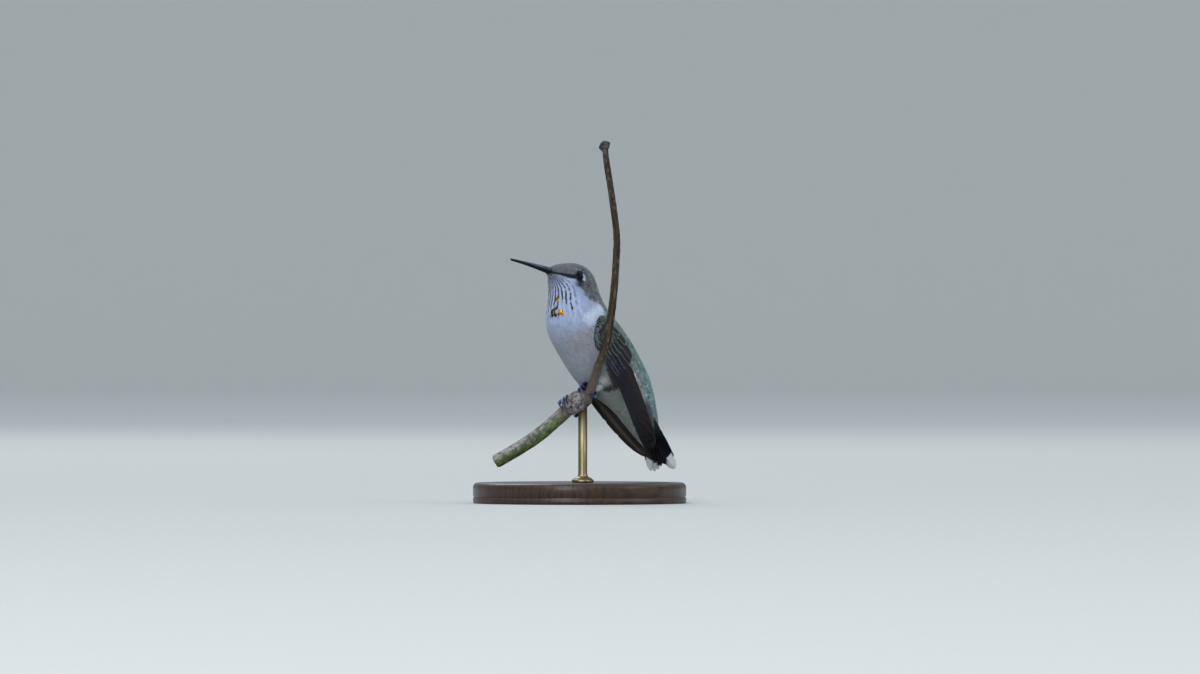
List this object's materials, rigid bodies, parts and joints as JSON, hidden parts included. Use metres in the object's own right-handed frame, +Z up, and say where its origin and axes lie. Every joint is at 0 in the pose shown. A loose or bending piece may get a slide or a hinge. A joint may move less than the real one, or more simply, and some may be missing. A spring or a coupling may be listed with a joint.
{
  "type": "perched hummingbird",
  "caption": "Life-size still model of a perched young hummingbird with folded wings, gripping a cut vine twig on a plain round display stand.",
  "frame": {"origin": "middle of the underside of the stand's base, on the surface that it stands on", "axes": "+Z up, the bird faces -X, its left side is -Y and its plane of symmetry is parallel to XZ"},
  "size_m": [0.062, 0.062, 0.1052],
  "materials": {
    "plumage": "soft matt contour feathers, grey-white below and bronze green above",
    "flight_feathers": "satin dark purplish-brown vanes with a low sheen, white tips on the outer tail",
    "foot_skin": "scaled blue-black skin, satin",
    "eye": "wet glossy near-black eyeball",
    "bill": "smooth black horn with a low gloss",
    "bark": "fine-grooved bark with lenticels and a scarred knot",
    "stand_wood": "turned dark hardwood, satin varnish",
    "stand_metal": "drawn brass rod, lightly brushed"
  },
  "bodies": {
    "root": {"head": "plumage", "neck": "plumage", "torso": "plumage", "tail": "flight_feathers", "wing_left": "flight_feathers", "wing_right": "flight_feathers", "leg_left": "plumage", "leg_right": "plumage", "foot_left": "foot_skin", "foot_right": "foot_skin", "eye_left": "eye", "eye_right": "eye", "bill_upper": "bill", "bill_lower": "bill", "perch_knot": "bark", "perch_stem": "bark", "perch_shoot": "bark", "stand_base": "stand_wood", "stand_rod": "stand_metal"}
  },
  "joints": []
}
